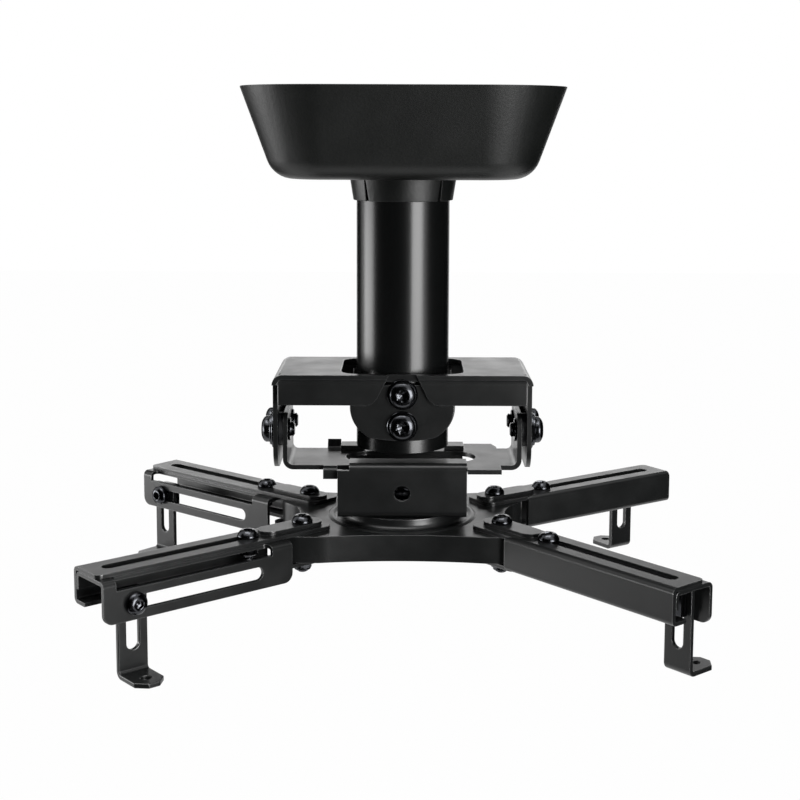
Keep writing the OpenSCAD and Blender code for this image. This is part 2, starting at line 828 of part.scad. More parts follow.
// Foot: a slotted strip bent outwards, with a chamfered plate for the projector's screw
module foot() {
    end_y = leg_y - foot_t/2 + foot_plate_l;
    low = -foot_drop + foot_t/2;
    color(BLACK)
        difference() {
            intersection() {
                along_x(foot_x - foot_w/2, foot_x + foot_w/2)
                    bent_strip([[leg_y, leg_top], [leg_y, low], [end_y, low]], foot_t, 1.5);
                translate([foot_x, 0, -foot_drop - e])
                    linear_extrude(foot_drop)
                    polygon([[-foot_w/2, 0], [foot_w/2, 0], [foot_w/2, end_y - 5],
                        [foot_w/2 - 5, end_y], [-foot_w/2 + 5, end_y], [-foot_w/2, end_y - 5]]);
            }
            translate([foot_x, leg_y - foot_t, 0])
                along_y(0, 2*foot_t)
                rotate(90) slot_2d(slot_b_z - foot_rise - 0.3, slot_b_z + 0.3, 0, slot_w);
            translate([foot_x, end_y - 8, -foot_drop - e]) cylinder(h = 3*foot_t, d = foot_hole_d);
        }
}

ceiling_plate();
pole_socket();
socket_screws();
pole();
roll_bolts();
roll_washers();
roll_nuts();
canopy();
yoke();
roll_plates();
cradle();
tilt_bolts();
tilt_washers();
tilt_spacers();
tilt_nuts();
bracket();
swivel_bolt();
swivel_nut();
spider();
lobe_sleeves();
lobe_bolts();
lobe_nuts();
on_lobe(1, -1, swing_rf) rail_a();  // rail_a_rf
on_lobe(1, 1, swing_rb) rail_a();  // rail_a_rb
on_lobe(-1, 1, swing_lb) rail_a();  // rail_a_lb
on_lobe(-1, -1, swing_lf) rail_a();  // rail_a_lf
on_lobe(1, -1, swing_rf) rail_b();  // rail_b_rf
on_lobe(1, 1, swing_rb) rail_b();  // rail_b_rb
on_lobe(-1, 1, swing_lb) rail_b();  // rail_b_lb
on_lobe(-1, -1, swing_lf) rail_b();  // rail_b_lf
on_lobe(1, -1, swing_rf) extension_bolt();  // extension_bolt_rf
on_lobe(1, 1, swing_rb) extension_bolt();  // extension_bolt_rb
on_lobe(-1, 1, swing_lb) extension_bolt();  // extension_bolt_lb
on_lobe(-1, -1, swing_lf) extension_bolt();  // extension_bolt_lf
on_lobe(1, -1, swing_rf) carrier();  // carrier_rf
on_lobe(1, 1, swing_rb) carrier();  // carrier_rb
on_lobe(-1, 1, swing_lb) carrier();  // carrier_lb
on_lobe(-1, -1, swing_lf) carrier();  // carrier_lf
on_lobe(1, -1, swing_rf) foot();  // foot_rf
on_lobe(1, 1, swing_rb) foot();  // foot_rb
on_lobe(-1, 1, swing_lb) foot();  // foot_lb
on_lobe(-1, -1, swing_lf) foot();  // foot_lf
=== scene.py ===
"""Dressed model of a projector's ceiling mount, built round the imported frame."""
import json
import logging
import math
from dataclasses import dataclass, field
from enum import Enum
from typing import Callable, Dict, List, Optional, Sequence, Tuple

import bmesh
import bpy
from mathutils import Euler, Matrix, Vector

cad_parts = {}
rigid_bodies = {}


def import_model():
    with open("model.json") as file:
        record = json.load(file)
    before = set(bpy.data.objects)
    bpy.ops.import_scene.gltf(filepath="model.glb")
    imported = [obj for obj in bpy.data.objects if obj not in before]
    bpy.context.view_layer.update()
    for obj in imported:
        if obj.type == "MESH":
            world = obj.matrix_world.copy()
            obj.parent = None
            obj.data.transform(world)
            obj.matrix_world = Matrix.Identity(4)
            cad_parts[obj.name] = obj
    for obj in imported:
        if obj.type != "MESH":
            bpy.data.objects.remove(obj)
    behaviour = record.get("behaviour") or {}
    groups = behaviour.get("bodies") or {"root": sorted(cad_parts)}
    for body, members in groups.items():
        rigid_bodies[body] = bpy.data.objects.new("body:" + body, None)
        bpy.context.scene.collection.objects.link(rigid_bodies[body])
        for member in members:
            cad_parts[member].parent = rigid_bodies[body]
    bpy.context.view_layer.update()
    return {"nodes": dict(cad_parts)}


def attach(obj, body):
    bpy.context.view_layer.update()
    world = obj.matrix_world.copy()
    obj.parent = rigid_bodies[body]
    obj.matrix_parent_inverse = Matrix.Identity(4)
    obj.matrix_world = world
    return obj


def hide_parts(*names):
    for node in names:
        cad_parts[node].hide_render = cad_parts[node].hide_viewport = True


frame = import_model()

MM = 0.001
LOG = logging.getLogger("projector_mount")

Point = Tuple[float, float, float]
Ring = List[Point]
Face = Sequence[int]
Spot = Tuple[Point, Point]
Shape = Callable[[float], float]
Socket = bpy.types.NodeSocket
Tree = bpy.types.NodeTree


# ---------------------------------------------------------------- small tools


def linear(hex_colour: str) -> Tuple[float, float, float, float]:
    """Turn an sRGB hex value into a linear colour.

    Args:
        hex_colour: Six hex digits, with or without a leading hash.

    Returns:
        The linear red, green and blue, and an alpha of 1.
    """
    digits = hex_colour.lstrip("#")
    channels = [int(digits[i:i + 2], 16) / 255 for i in (0, 2, 4)]
    values = [c / 12.92 if c <= 0.04045 else ((c + 0.055) / 1.055) ** 2.4 for c in channels]
    return (values[0], values[1], values[2], 1.0)


def add(tree: Tree, kind: str, links: Optional[dict] = None, **settings: object) -> bpy.types.Node:
    """Add a node, set its properties and fill its inputs.

    Args:
        tree: The node tree that takes the node.
        kind: The node's type name.
        links: Input name or index, to a plain value or to another node's output.
        settings: Properties of the node itself.

    Returns:
        The new node.
    """
    node = tree.nodes.new(kind)
    for key, value in settings.items():
        setattr(node, key, value)
    for key, value in (links or {}).items():
        if isinstance(value, bpy.types.NodeSocket):
            tree.links.new(value, node.inputs[key])
        else:
            node.inputs[key].default_value = value
    return node


def maths(tree: Tree, operation: str, a: object, b: object = 0.0) -> Socket:
    """Join two values with one operation and return the result's socket."""
    return add(tree, "ShaderNodeMath", {0: a, 1: b}, operation=operation).outputs[0]


def turn_onto(direction: Sequence[float]) -> Euler:
    """Give the rotation that takes +Z onto a direction."""
    return Vector(direction).to_track_quat("Z", "Y").to_euler()


def linked(name: str, data: bpy.types.ID) -> bpy.types.Object:
    """Make an object round its data and link it to the scene."""
    made = bpy.data.objects.new(name, data)
    bpy.context.scene.collection.objects.link(made)
    return made


def bare_tree(holder: bpy.types.ID) -> Tree:
    """Give the emptied node tree of a material or a world."""
    holder.use_nodes = True
    holder.node_tree.nodes.clear()
    return holder.node_tree


# ------------------------------------------------------------------- finishes


@dataclass(frozen=True)
class Finish:
    """A surface finish: what it is made of and how it was made.

    Attributes:
        name: Name of the material.
        colour: Body colour, sRGB hex.
        light: Colour on high spots, and on edges, where it is partly wear and partly a painted highlight,
            sRGB hex.
        roughness: Mean roughness.
        spread: How far the roughness wanders round its mean.
        grain_mm: Width of one bump of the surface.
        relief_mm: Height of those bumps.
        mottle_mm: Width of the slow wander in gloss and colour.
        metallic: Metallic value.
        specular: Specular level, 0.5 being plain.
        edge_mm: Width of the softer, lighter edges, lighter partly from wear and partly from a painted
            highlight.
        edge_gloss: Rise of the specular level on those edges.
        stretch: Scale of the grain along X, Y and Z.
        crust: Share of a coarser cell pattern in the relief.
    """

    name: str
    colour: str
    light: str
    roughness: float
    spread: float
    grain_mm: float
    relief_mm: float
    mottle_mm: float
    metallic: float = 0.0
    specular: float = 0.5
    edge_mm: float = 0.5
    edge_gloss: float = 0.0
    stretch: Point = (1.0, 1.0, 1.0)
    crust: float = 0.0

    # How much of the lighter colour the high spots take, and the edges, where it is partly wear and partly
    # a painted highlight
    SPOTS, EDGES = 0.35, 0.55
    # How much smoother an edge is
    WORN = 0.08
    # Cosine of the turn at which the edge's mask starts, and at which it is full
    TURN = (0.995, 0.9)
    # Width of one cell of the crust, in widths of a bump
    CELL = 1.6

    def material(self) -> bpy.types.Material:
        """Build the material, or give back the one that was built before.

        Returns:
            The finished material.
        """
        made = bpy.data.materials.get(self.name)
        if made is not None:
            return made
        made = bpy.data.materials.new(self.name)
        tree = bare_tree(made)
        place = add(tree, "ShaderNodeTexCoord").outputs["Object"]
        place = add(tree, "ShaderNodeMapping", {"Vector": place, "Scale": self.stretch}).outputs["Vector"]
        grain = self._noise(tree, place, self.grain_mm, 2.0)
        mottle = self._noise(tree, place, self.mottle_mm, 3.0)
        edge = self._edge(tree)
        shader = add(tree, "ShaderNodeBsdfPrincipled", {
            "Base Color": self._colour(tree, grain, mottle, edge),
            "Roughness": self._roughness(tree, mottle, edge),
            "Metallic": self.metallic,
            "Normal": self._relief(tree, place, grain),
        })
        if not self.metallic:
            level = shader.inputs["Specular IOR Level"]
            level.default_value = self.specular
            if self.edge_gloss:
                rise = maths(tree, "MULTIPLY", edge, self.edge_gloss)
                tree.links.new(maths(tree, "ADD", rise, self.specular), level)
        add(tree, "ShaderNodeOutputMaterial", {"Surface": shader.outputs[0]})
        return made

    def _noise(self, tree: Tree, place: Socket, width_mm: float, detail: float) -> Socket:
        """Give a noise whose bumps are width_mm across."""
        return add(tree, "ShaderNodeTexNoise", {
            "Vector": place, "Scale": 1.0 / (width_mm * MM), "Detail": detail, "Roughness": 0.55,
        }).outputs["Fac"]

    def _edge(self, tree: Tree) -> Socket:
        """Give a mask that is 1 where the surface turns a corner."""
        soft = add(tree, "ShaderNodeBevel", {"Radius": self.edge_mm * MM}, samples=4).outputs[0]
        flat = add(tree, "ShaderNodeNewGeometry").outputs["Normal"]
        along = add(tree, "ShaderNodeVectorMath", {
            0: soft, 1: flat,
        }, operation="DOT_PRODUCT").outputs["Value"]
        return add(tree, "ShaderNodeMapRange", {
            "Value": along, "From Min": self.TURN[0], "From Max": self.TURN[1],
            "To Min": 0.0, "To Max": 1.0,
        }).outputs["Result"]

    def _colour(self, tree: Tree, grain: Socket, mottle: Socket, edge: Socket) -> Socket:
        """Blend the body colour with its lighter tone on high spots, and on edges, where it is partly wear
        and partly a painted highlight.
        """
        spots = maths(tree, "MULTIPLY", maths(tree, "MULTIPLY", grain, mottle), self.SPOTS)
        # Edges take the lighter colour partly as wear and partly as a painted highlight
        share = maths(tree, "ADD", spots, maths(tree, "MULTIPLY", edge, self.EDGES))
        return add(tree, "ShaderNodeMix", {
            0: share, 6: linear(self.colour), 7: linear(self.light),
        }, data_type="RGBA", clamp_factor=True).outputs[2]

    def _roughness(self, tree: Tree, mottle: Socket, edge: Socket) -> Socket:
        """Let the roughness wander slowly and fall a little on edges."""
        wander = add(tree, "ShaderNodeMapRange", {
            "Value": mottle, "From Min": 0.3, "From Max": 0.7,
            "To Min": self.roughness - self.spread, "To Max": self.roughness + self.spread,
        }).outputs["Result"]
        return maths(tree, "SUBTRACT", wander, maths(tree, "MULTIPLY", edge, self.WORN))

    def _relief(self, tree: Tree, place: Socket, grain: Socket) -> Socket:
        """Raise the grain, with a cell pattern where the finish has one."""
        height = grain
        if self.crust:
            cells = add(tree, "ShaderNodeTexVoronoi", {
                "Vector": place, "Scale": 1.0 / (self.CELL * self.grain_mm * MM),
            }, feature="SMOOTH_F1").outputs["Distance"]
            height = maths(tree, "ADD", grain, maths(tree, "MULTIPLY", cells, self.crust))
        return add(tree, "ShaderNodeBump", {
            "Height": height, "Strength": 1.0, "Distance": self.relief_mm * MM,
        }).outputs["Normal"]


class Finishes(Enum):
    """The finishes of the mount."""

    # Polyester powder coat on folded steel: matt black with an orange peel about 1 mm wide, and
    # glossier where the coat runs thin over an edge
    POWDER_COAT = Finish("powder_coated_steel", "#0f1010", "#292a2b", 0.31, 0.03, 0.9, 0.02, 14.0,
                         edge_mm=0.9, edge_gloss=1.6)
    # Smooth satin coat on drawn tube: clearer reflections, faint lines along the tube. The real
    # lines are finer than 0.1 mm and are drawn 1.1 mm wide, so that they show
    SATIN_TUBE = Finish("satin_coated_tube", "#080909", "#18191a", 0.25, 0.015, 1.1, 0.006, 30.0,
                        stretch=(1.0, 1.0, 0.35))
    # Black ABS from a spark-eroded mould: even matt grain. The real grain is about 0.2 mm wide,
    # too fine to show, so it is drawn 1.1 mm wide
    MOULDED_ABS = Finish("moulded_black_abs", "#090b0a", "#1c1e1d", 0.42, 0.025, 1.1, 0.05, 22.0,
                         crust=0.5)
    # Black oxide on machined steel: dark, oily gloss that thins on the corners. Its real grain is
    # finer than 0.1 mm and is drawn 0.6 mm wide, so that it shows
    BLACK_OXIDE = Finish("black_oxide_steel", "#3a3b3e", "#8a8c90", 0.2, 0.03, 0.6, 0.0015, 5.0,
                         metallic=1.0, edge_mm=0.3)
    # Moulded nylon spacer: even, slightly waxy
    NYLON = Finish("black_nylon", "#17181a", "#2b2c2e", 0.42, 0.04, 0.7, 0.01, 6.0)
    # Powder-coated weld bead: the coat pools between the ripples
    COATED_WELD = Finish("coated_weld", "#191a1a", "#3a3b3b", 0.4, 0.06, 0.7, 0.03, 4.0)


def dress(piece: bpy.types.Object, finish: Finishes) -> None:
    """Give an object one finish in its only material slot."""
    material = finish.value.material()
    piece.data.materials.clear()
    piece.data.materials.append(material)


# ------------------------------------------------------------------ mesh tools


def mesh_object(name: str, points: List[Point], faces: List[Face], scale: float = MM) -> bpy.types.Object:
    """Make an object from points and faces, with faces turned outwards.

    Args:
        name: Name of the object.
        points: Corners, in millimetres unless scale says otherwise.
        faces: Corner indices of each face.
        scale: Metres per unit of the points.

    Returns:
        The new object, linked to the scene.
    """
    mesh = bpy.data.meshes.new(name)
    mesh.from_pydata([tuple(c * scale for c in p) for p in points], [], faces)
    made = bmesh.new()
    made.from_mesh(mesh)
    bmesh.ops.remove_doubles(made, verts=made.verts, dist=1e-7)
    bmesh.ops.recalc_face_normals(made, faces=made.faces)
    made.to_mesh(mesh)
    made.free()
    mesh.update()
    return linked(name, mesh)


def loft(rings: Sequence[Ring], closed: bool) -> Tuple[List[Point], List[Face]]:
    """Skin a stack of rings that all have the same number of points.

    Args:
        rings: The rings, from first to last.
        closed: True joins the last ring to the first, False caps both ends.

    Returns:
        The points and the faces.
    """
    count = len(rings[0])
    points = [p for ring in rings for p in ring]
    faces: List[Face] = []
    last = len(rings) if closed else len(rings) - 1
    for i in range(last):
        a, b = i * count, ((i + 1) % len(rings)) * count
        faces += [(a + k, a + (k + 1) % count, b + (k + 1) % count, b + k) for k in range(count)]
    if not closed:
        faces += [tuple(range(count)), tuple(range((len(rings) - 1) * count, len(rings) * count))]
    return points, faces


def ring_of(radius: Shape, z: float, count: int) -> Ring:
    """Give one ring at height z whose radius depends on the angle."""
    angles = [2 * math.pi * k / count for k in range(count)]
    return [(radius(a) * math.cos(a), radius(a) * math.sin(a), z) for a in angles]


def stack(outline: Sequence[Tuple[Shape, float]], count: int) -> List[Ring]:
    """Give one ring for each radius function and height of an outline."""
    return [ring_of(radius, z, count) for radius, z in outline]


def round_by(r: float) -> Shape:
    """Give the radius function of a circle."""
    return lambda angle: r


def hexagon(across: float, corner: float = math.inf) -> Shape:
    """Give the radius function of a hexagon whose corners are turned down to a radius."""
    def radius(angle: float) -> float:
        """Give the hexagon's radius at an angle."""
        off = (angle + math.pi / 6) % (math.pi / 3) - math.pi / 6
        return min(across / 2 / math.cos(off), corner)
    return radius


def square(across: float, inset: float = 0.0) -> Shape:
    """Give the radius function of a square, drawn in by an inset."""
    def radius(angle: float) -> float:
        """Give the square's radius at an angle."""
        off = (angle + math.pi / 4) % (math.pi / 2) - math.pi / 4
        return (across / 2 - inset) / math.cos(off)
    return radius


class HeadForm(Enum):
    """Turned outlines of the screw heads: shares of the head's radius and height, from the seat up."""

    BUTTON = ((0.93, 0.0), (0.985, 0.03), (1.0, 0.08), (1.0, 0.13), (0.985, 0.24), (0.945, 0.39),
              (0.885, 0.55), (0.81, 0.71), (0.73, 0.85), (0.66, 0.94), (0.61, 0.985))
    PAN = ((0.94, 0.0), (0.985, 0.03), (1.0, 0.1), (1.0, 0.42), (0.988, 0.53), (0.955, 0.63),
           (0.9, 0.72), (0.82, 0.81), (0.73, 0.89), (0.64, 0.95), (0.56, 0.99))


def six_lobe(r: float, lobe: float = 0.15) -> Shape:
    """Give the radius function of a six-lobed recess, its lobes a share of r high."""
    return lambda angle: r * (1 + lobe * math.cos(6 * angle))


def shade(mesh: bpy.types.Mesh, angle: float = 32.0) -> None:
    """Shade a mesh smooth, with sharp edges above an angle in degrees."""
    mesh.polygons.foreach_set("use_smooth", [True] * len(mesh.polygons))
    mesh.set_sharp_from_angle(angle=math.radians(angle))


def baked(piece: bpy.types.Object) -> bpy.types.Mesh:
    """Give the mesh of an object with its modifiers applied."""
    graph = bpy.context.evaluated_depsgraph_get()
    return bpy.data.meshes.new_from_object(piece.evaluated_get(graph), depsgraph=graph)


def settle(piece: bpy.types.Object, body: str, replaced: Sequence[str] = ()) -> None:
    """Hand a finished piece to the frame.

    Args:
        piece: The piece, at the origin with its place in its mesh.
        body: The body that it rides on.
        replaced: CAD nodes that it stands for.
    """
    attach(piece, body)
    if replaced:
        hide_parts(*replaced)
    LOG.info("%s on %s: %d faces", piece.name, body, len(piece.data.polygons))


# ------------------------------------------------------------- softened sheets


@dataclass
class SoftNode:
    """A CAD node whose sharp edges are rounded as a coat rounds them.

    Attributes:
        node: The CAD node.
        body: The body that it rides on.
        slot: The record's material slot. Not used.
        finish: Its finish.
        width: Width of the rounded edge in millimetres.
        segments: Facets across the rounded edge.
        rim_level: Height of a top whose outer rim has a larger pressed radius.
        rim: Size of that radius.
    """

    node: str
    body: str
    slot: str = "powder_coat"
    finish: Finishes = Finishes.POWDER_COAT
    width: float = 0.7
    segments: int = 3
    rim_level: Optional[float] = None
    rim: float = 2.4

    # Clean-up: merging distance in metres, largest bend of a flat face in degrees
    MERGE = 2e-6
    FLAT = 0.6
    # Least angle of an edge that is rounded in degrees, and of one on the pressed rim in radians
    SHARP = 40.0
    RIM_ANGLE = 1.2
    # How far a rim's corner may be from its level in metres, and least radius of the rim in millimetres
    RIM_SLACK = 2e-5
    RIM_INNER = 40.0

    def build(self) -> None:
        """Make the softened copy and put it in place of the node."""
        mesh = frame["nodes"][self.node].data.copy()
        mesh.materials.clear()
        self._clean(mesh)
        piece = linked(f"{self.node}_soft", mesh)
        soft = piece.modifiers.new("soft", "BEVEL")
        soft.width = self.width * MM
        soft.segments = self.segments
        soft.limit_method = "ANGLE"
        soft.angle_limit = math.radians(self.SHARP)
        soft.use_clamp_overlap = True
        soft.miter_outer = "MITER_ARC"
        even = piece.modifiers.new("even", "WEIGHTED_NORMAL")
        even.mode = "FACE_AREA"
        even.weight = 50
        even.keep_sharp = True
        finished = baked(piece)
        piece.modifiers.clear()
        piece.data = finished
        dress(piece, self.finish)
        settle(piece, self.body, [self.node])

    def _clean(self, mesh: bpy.types.Mesh) -> None:
        """Join the loose triangles and merge the flat ones into large faces."""
        made = bmesh.new()
        made.from_mesh(mesh)
        bmesh.ops.remove_doubles(made, verts=made.verts, dist=self.MERGE)
        bmesh.ops.dissolve_limit(made, angle_limit=math.radians(self.FLAT), verts=made.verts,
                                 edges=made.edges, delimit={"NORMAL"})
        if self.rim_level is not None:
            self._press_rim(made)
        for face in made.faces:
            face.smooth = True
        made.to_mesh(mesh)
        made.free()
        mesh.update()

    def _press_rim(self, made: bmesh.types.BMesh) -> None:
        """Round the outer rim of the top as the press leaves it."""
        level = self.rim_level * MM
        rim = [e for e in made.edges
               if e.is_manifold and e.is_convex and e.calc_face_angle() > self.RIM_ANGLE
               and all(abs(v.co.z - level) < self.RIM_SLACK for v in e.verts)
               and all(v.co.xy.length > self.RIM_INNER * MM for v in e.verts)]
        bmesh.ops.bevel(made, geom=rim, offset=self.rim * MM, segments=5, profile=0.5,
                        affect="EDGES", clamp_overlap=True)


# ----------------------------------------------------------- geometry node trees


class NodeRig:
    """A geometry node tree with named inputs, and the way to run it."""

    def __init__(self, name: str, inputs: Sequence[Tuple[str, str]]) -> None:
        """Open a tree with a geometry input and output and the named inputs.

        Args:
            name: Name of the tree.
            inputs: Name and socket type of each further input.
        """
        self.tree = bpy.data.node_groups.new(name, "GeometryNodeTree")
        face = self.tree.interface
        face.new_socket(name="Geometry", in_out="INPUT", socket_type="NodeSocketGeometry")
        self.ids: Dict[str, str] = {}
        for label, kind in inputs:
            self.ids[label] = face.new_socket(name=label, in_out="INPUT", socket_type=kind).identifier
        self.ids["Finish"] = face.new_socket(name="Finish", in_out="INPUT",
                                             socket_type="NodeSocketMaterial").identifier
        face.new_socket(name="Geometry", in_out="OUTPUT", socket_type="NodeSocketGeometry")
        self.source = add(self.tree, "NodeGroupInput").outputs

    def finish(self, instances: Socket) -> None:
        """End the tree: real geometry with its material set."""
        real = add(self.tree, "GeometryNodeRealizeInstances", {0: instances}).outputs[0]
        dressed = add(self.tree, "GeometryNodeSetMaterial", {
            0: real, "Material": self.source["Finish"],
        }).outputs[0]
        add(self.tree, "NodeGroupOutput", {0: dressed})

    def run(self, base: bpy.types.Object, values: Dict[str, object], finish: Finishes) -> None:
        """Run the tree on an object and keep the result as its mesh.

        Args:
            base: The object whose mesh goes in.
            values: Value of each named input.
            finish: Finish of the result.
        """
        modifier = base.modifiers.new("rig", "NODES")
        modifier.node_group = self.tree
        for label, value in values.items():
            modifier[self.ids[label]] = value
        modifier[self.ids["Finish"]] = finish.value.material()
        bpy.context.view_layer.update()
        mesh = baked(base)
        base.modifiers.clear()
        base.data = mesh
        shade(mesh)


class FastenerRig(NodeRig):
    """Sets one fastener on every point, turned by the point's own attribute."""

    def __init__(self) -> None:
        """Build the tree: points in, fasteners out."""
        super().__init__("fasteners", [("Fastener", "NodeSocketObject"), ("Scale", "NodeSocketFloat"),
                                       ("Spin seed", "NodeSocketInt")])
        turn = add(self.tree, "GeometryNodeInputNamedAttribute", {"Name": "turn"}, data_type="FLOAT_VECTOR")
        shape = add(self.tree, "GeometryNodeObjectInfo", {
            "Object": self.source["Fastener"],
        }).outputs["Geometry"]
        spin = add(self.tree, "FunctionNodeRandomValue", {
            "Seed": self.source["Spin seed"],
        }, data_type="FLOAT")
        spin.inputs[3].default_value = math.tau
        own = add(self.tree, "ShaderNodeCombineXYZ", {"Z": spin.outputs[1]}).outputs[0]
        placed = add(self.tree, "GeometryNodeInstanceOnPoints", {
            "Points": self.source["Geometry"], "Instance": shape,
            "Rotation": turn.outputs["Attribute"], "Scale": self.source["Scale"],
        }).outputs[0]
        spun = add(self.tree, "GeometryNodeRotateInstances", {
            "Instances": placed, "Rotation": own, "Local Space": True,
        }).outputs[0]
        self.finish(spun)


class RibRig(NodeRig):
    """Sets flat ribs round a ring, as in the floor of a moulding."""

    def __init__(self) -> None:
        """Build the tree: a ring of box ribs."""
        super().__init__("ribs", [("Ribs", "NodeSocketInt"), ("Radius", "NodeSocketFloat"),
                                  ("Size", "NodeSocketVector"), ("Level", "NodeSocketFloat")])
        circle = add(self.tree, "GeometryNodeMeshCircle", {
            "Vertices": self.source["Ribs"], "Radius": self.source["Radius"],
        }).outputs[0]
        rib = add(self.tree, "GeometryNodeMeshCube", {"Size": self.source["Size"]}).outputs[0]
        index = add(self.tree, "GeometryNodeInputIndex").outputs[0]
        share = maths(self.tree, "DIVIDE", index, self.source["Ribs"])
        angle = maths(self.tree, "MULTIPLY", share, math.tau)
        turn = add(self.tree, "ShaderNodeCombineXYZ", {"Z": angle}).outputs[0]
        placed = add(self.tree, "GeometryNodeInstanceOnPoints", {
            "Points": circle, "Instance": rib, "Rotation": turn,
        }).outputs[0]
        up = add(self.tree, "ShaderNodeCombineXYZ", {"Z": self.source["Level"]}).outputs[0]
        lifted = add(self.tree, "GeometryNodeTransform", {"Geometry": placed, "Translation": up}).outputs[0]
        self.finish(lifted)


class WeldRig(NodeRig):
    """Lays overlapping ripples along an edge path, as a weld bead shows."""

    # Least and largest size of a ripple, and how flat it lies
    SMALL, LARGE, FLATNESS = 0.88, 1.08, 0.6

    def __init__(self) -> None:
        """Build the tree: an edge path in, a rippled bead out."""
        super().__init__("weld", [("Bead radius", "NodeSocketFloat"), ("Pitch", "NodeSocketFloat"),
                                  ("Seed", "NodeSocketInt")])
        path = add(self.tree, "GeometryNodeMeshToCurve", {0: self.source["Geometry"]}).outputs[0]
        dots = add(self.tree, "GeometryNodeCurveToPoints", {
            "Curve": path, "Length": self.source["Pitch"],
        }, mode="LENGTH")
        ripple = add(self.tree, "GeometryNodeMeshUVSphere", {
            "Segments": 12, "Rings": 7, "Radius": self.source["Bead radius"],
        }).outputs[0]
        size = add(self.tree, "FunctionNodeRandomValue", {"Seed": self.source["Seed"]}, data_type="FLOAT")
        size.inputs[2].default_value = self.SMALL
        size.inputs[3].default_value = self.LARGE
        grown = add(self.tree, "ShaderNodeCombineXYZ", {
            "X": size.outputs[1], "Y": size.outputs[1], "Z": self.FLATNESS,
        }).outputs[0]
        placed = add(self.tree, "GeometryNodeInstanceOnPoints", {
            "Points": dots.outputs["Points"], "Instance": ripple,
            "Rotation": dots.outputs["Rotation"], "Scale": grown,
        }).outputs[0]
        self.finish(placed)


# ------------------------------------------------------------------- fasteners


@dataclass(frozen=True)
class ScrewForm:
    """A screw's shape apart from its length, in millimetres.

    Attributes:
        d: Shank diameter.
        r: Head radius.
        h: Head height.
        head: Outline of the head.
        recess: Radius function of the recess.
        depth: Depth of the recess.
    """

    d: float
    r: float
    h: float
    head: HeadForm
    recess: Shape
    depth: float


class Screws(Enum):
    """The mount's screws."""

    ROLL = ScrewForm(8.0, 7.0, 4.3, HeadForm.PAN, six_lobe(2.75), 1.5)
    TILT = ScrewForm(8.0, 7.0, 4.6, HeadForm.PAN, six_lobe(2.75), 1.5)
    SWIVEL = ScrewForm(10.0, 9.5, 5.6, HeadForm.BUTTON, hexagon(6.0), 2.6)
    ARM = ScrewForm(6.0, 5.6, 3.6, HeadForm.BUTTON, hexagon(4.0), 1.6)
    FOOT = ScrewForm(6.0, 5.6, 4.2, HeadForm.PAN, hexagon(4.2), 2.0)


